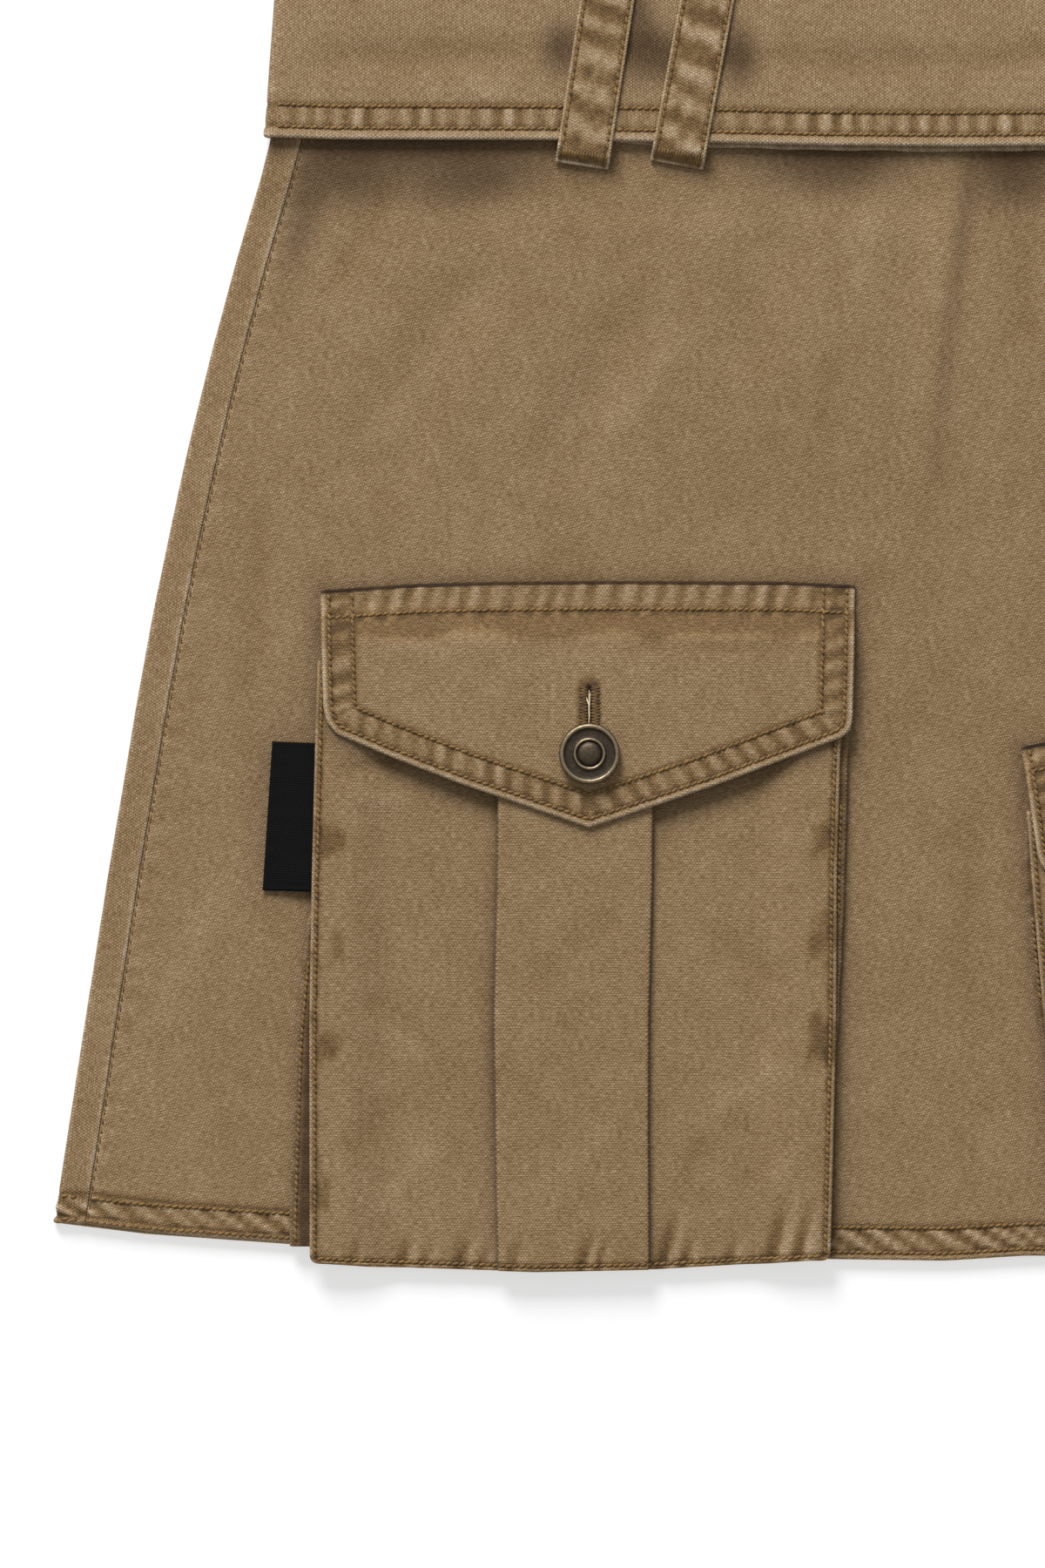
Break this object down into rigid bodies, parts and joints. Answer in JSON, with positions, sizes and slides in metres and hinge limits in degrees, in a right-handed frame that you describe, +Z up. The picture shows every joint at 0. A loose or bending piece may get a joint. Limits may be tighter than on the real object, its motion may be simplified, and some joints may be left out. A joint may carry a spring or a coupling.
{
  "type": "mini skirt",
  "caption": "Washed canvas cargo mini skirt lying flat, with a fold-over waist band, long belt loops and patch pockets with box pleats, flaps and tack buttons.",
  "frame": {"origin": "on the surface that the skirt lies on, under the middle of its outline", "axes": "+X across the front to the right as it lies, +Y from the hem to the waist, +Z up out of the front"},
  "size_m": [0.4968, 0.4099, 0.0116],
  "materials": {
    "canvas": "pigment washed cotton canvas, khaki brown, worn pale along its edges",
    "stitching": "olive brown cotton sewing thread",
    "button_brass": "antique brass, dark in its recesses and rubbed on its rims",
    "label_weave": "black woven tape, bare"
  },
  "bodies": {
    "root": {"back_panel": "canvas", "front_panel": "canvas", "fold_over_band": "canvas", "band_facing": "canvas", "belt_loop_1": "canvas", "belt_loop_2": "canvas", "belt_loop_3": "canvas", "belt_loop_4": "canvas", "pocket_1_front": "canvas", "pocket_1_gusset_left": "canvas", "pocket_1_gusset_right": "canvas", "pocket_1_flap": "canvas", "pocket_1_button": "button_brass", "pocket_label": "label_weave", "pocket_2_front": "canvas", "pocket_2_gusset_left": "canvas", "pocket_2_gusset_right": "canvas", "pocket_2_flap": "canvas", "pocket_2_button": "button_brass"}
  },
  "joints": []
}
